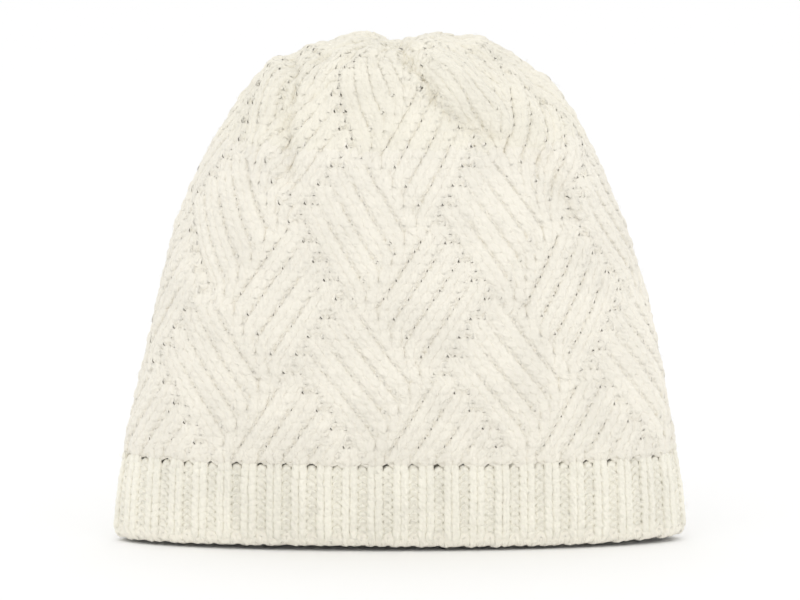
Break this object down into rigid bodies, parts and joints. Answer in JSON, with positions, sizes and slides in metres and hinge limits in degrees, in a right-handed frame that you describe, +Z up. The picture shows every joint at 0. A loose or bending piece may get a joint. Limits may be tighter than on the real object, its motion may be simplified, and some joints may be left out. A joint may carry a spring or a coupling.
{
  "type": "knit beanie",
  "caption": "Soft ivory knit beanie standing on its brim: ribbed band, body of diagonal ribs in a diamond lattice, and a pleated crown gathered to a point.",
  "frame": {"origin": "centre of the hat's plan box, on the surface that the brim stands on", "axes": "+Z up through the crown, +X to the hat's left-right width, the front faces -Y and the back seam is at +Y"},
  "size_m": [0.23, 0.1112, 0.2078],
  "materials": {
    "hem_knit": "soft brushed ivory yarn, matt",
    "band_knit": "soft brushed ivory yarn in one by one rib, matt",
    "body_knit": "soft brushed ivory yarn in travelling ribs, matt",
    "crown_knit": "soft brushed ivory yarn, gathered, matt",
    "seam_yarn": "plied ivory sewing yarn, matt"
  },
  "bodies": {
    "root": {"hem_edge": "hem_knit", "ribbed_band": "band_knit", "band_join_seam": "seam_yarn", "patterned_body": "body_knit", "gathered_crown": "crown_knit", "band_back_seam": "seam_yarn", "body_back_seam": "seam_yarn", "crown_drawstring": "seam_yarn", "drawstring_knot": "seam_yarn"}
  },
  "joints": []
}
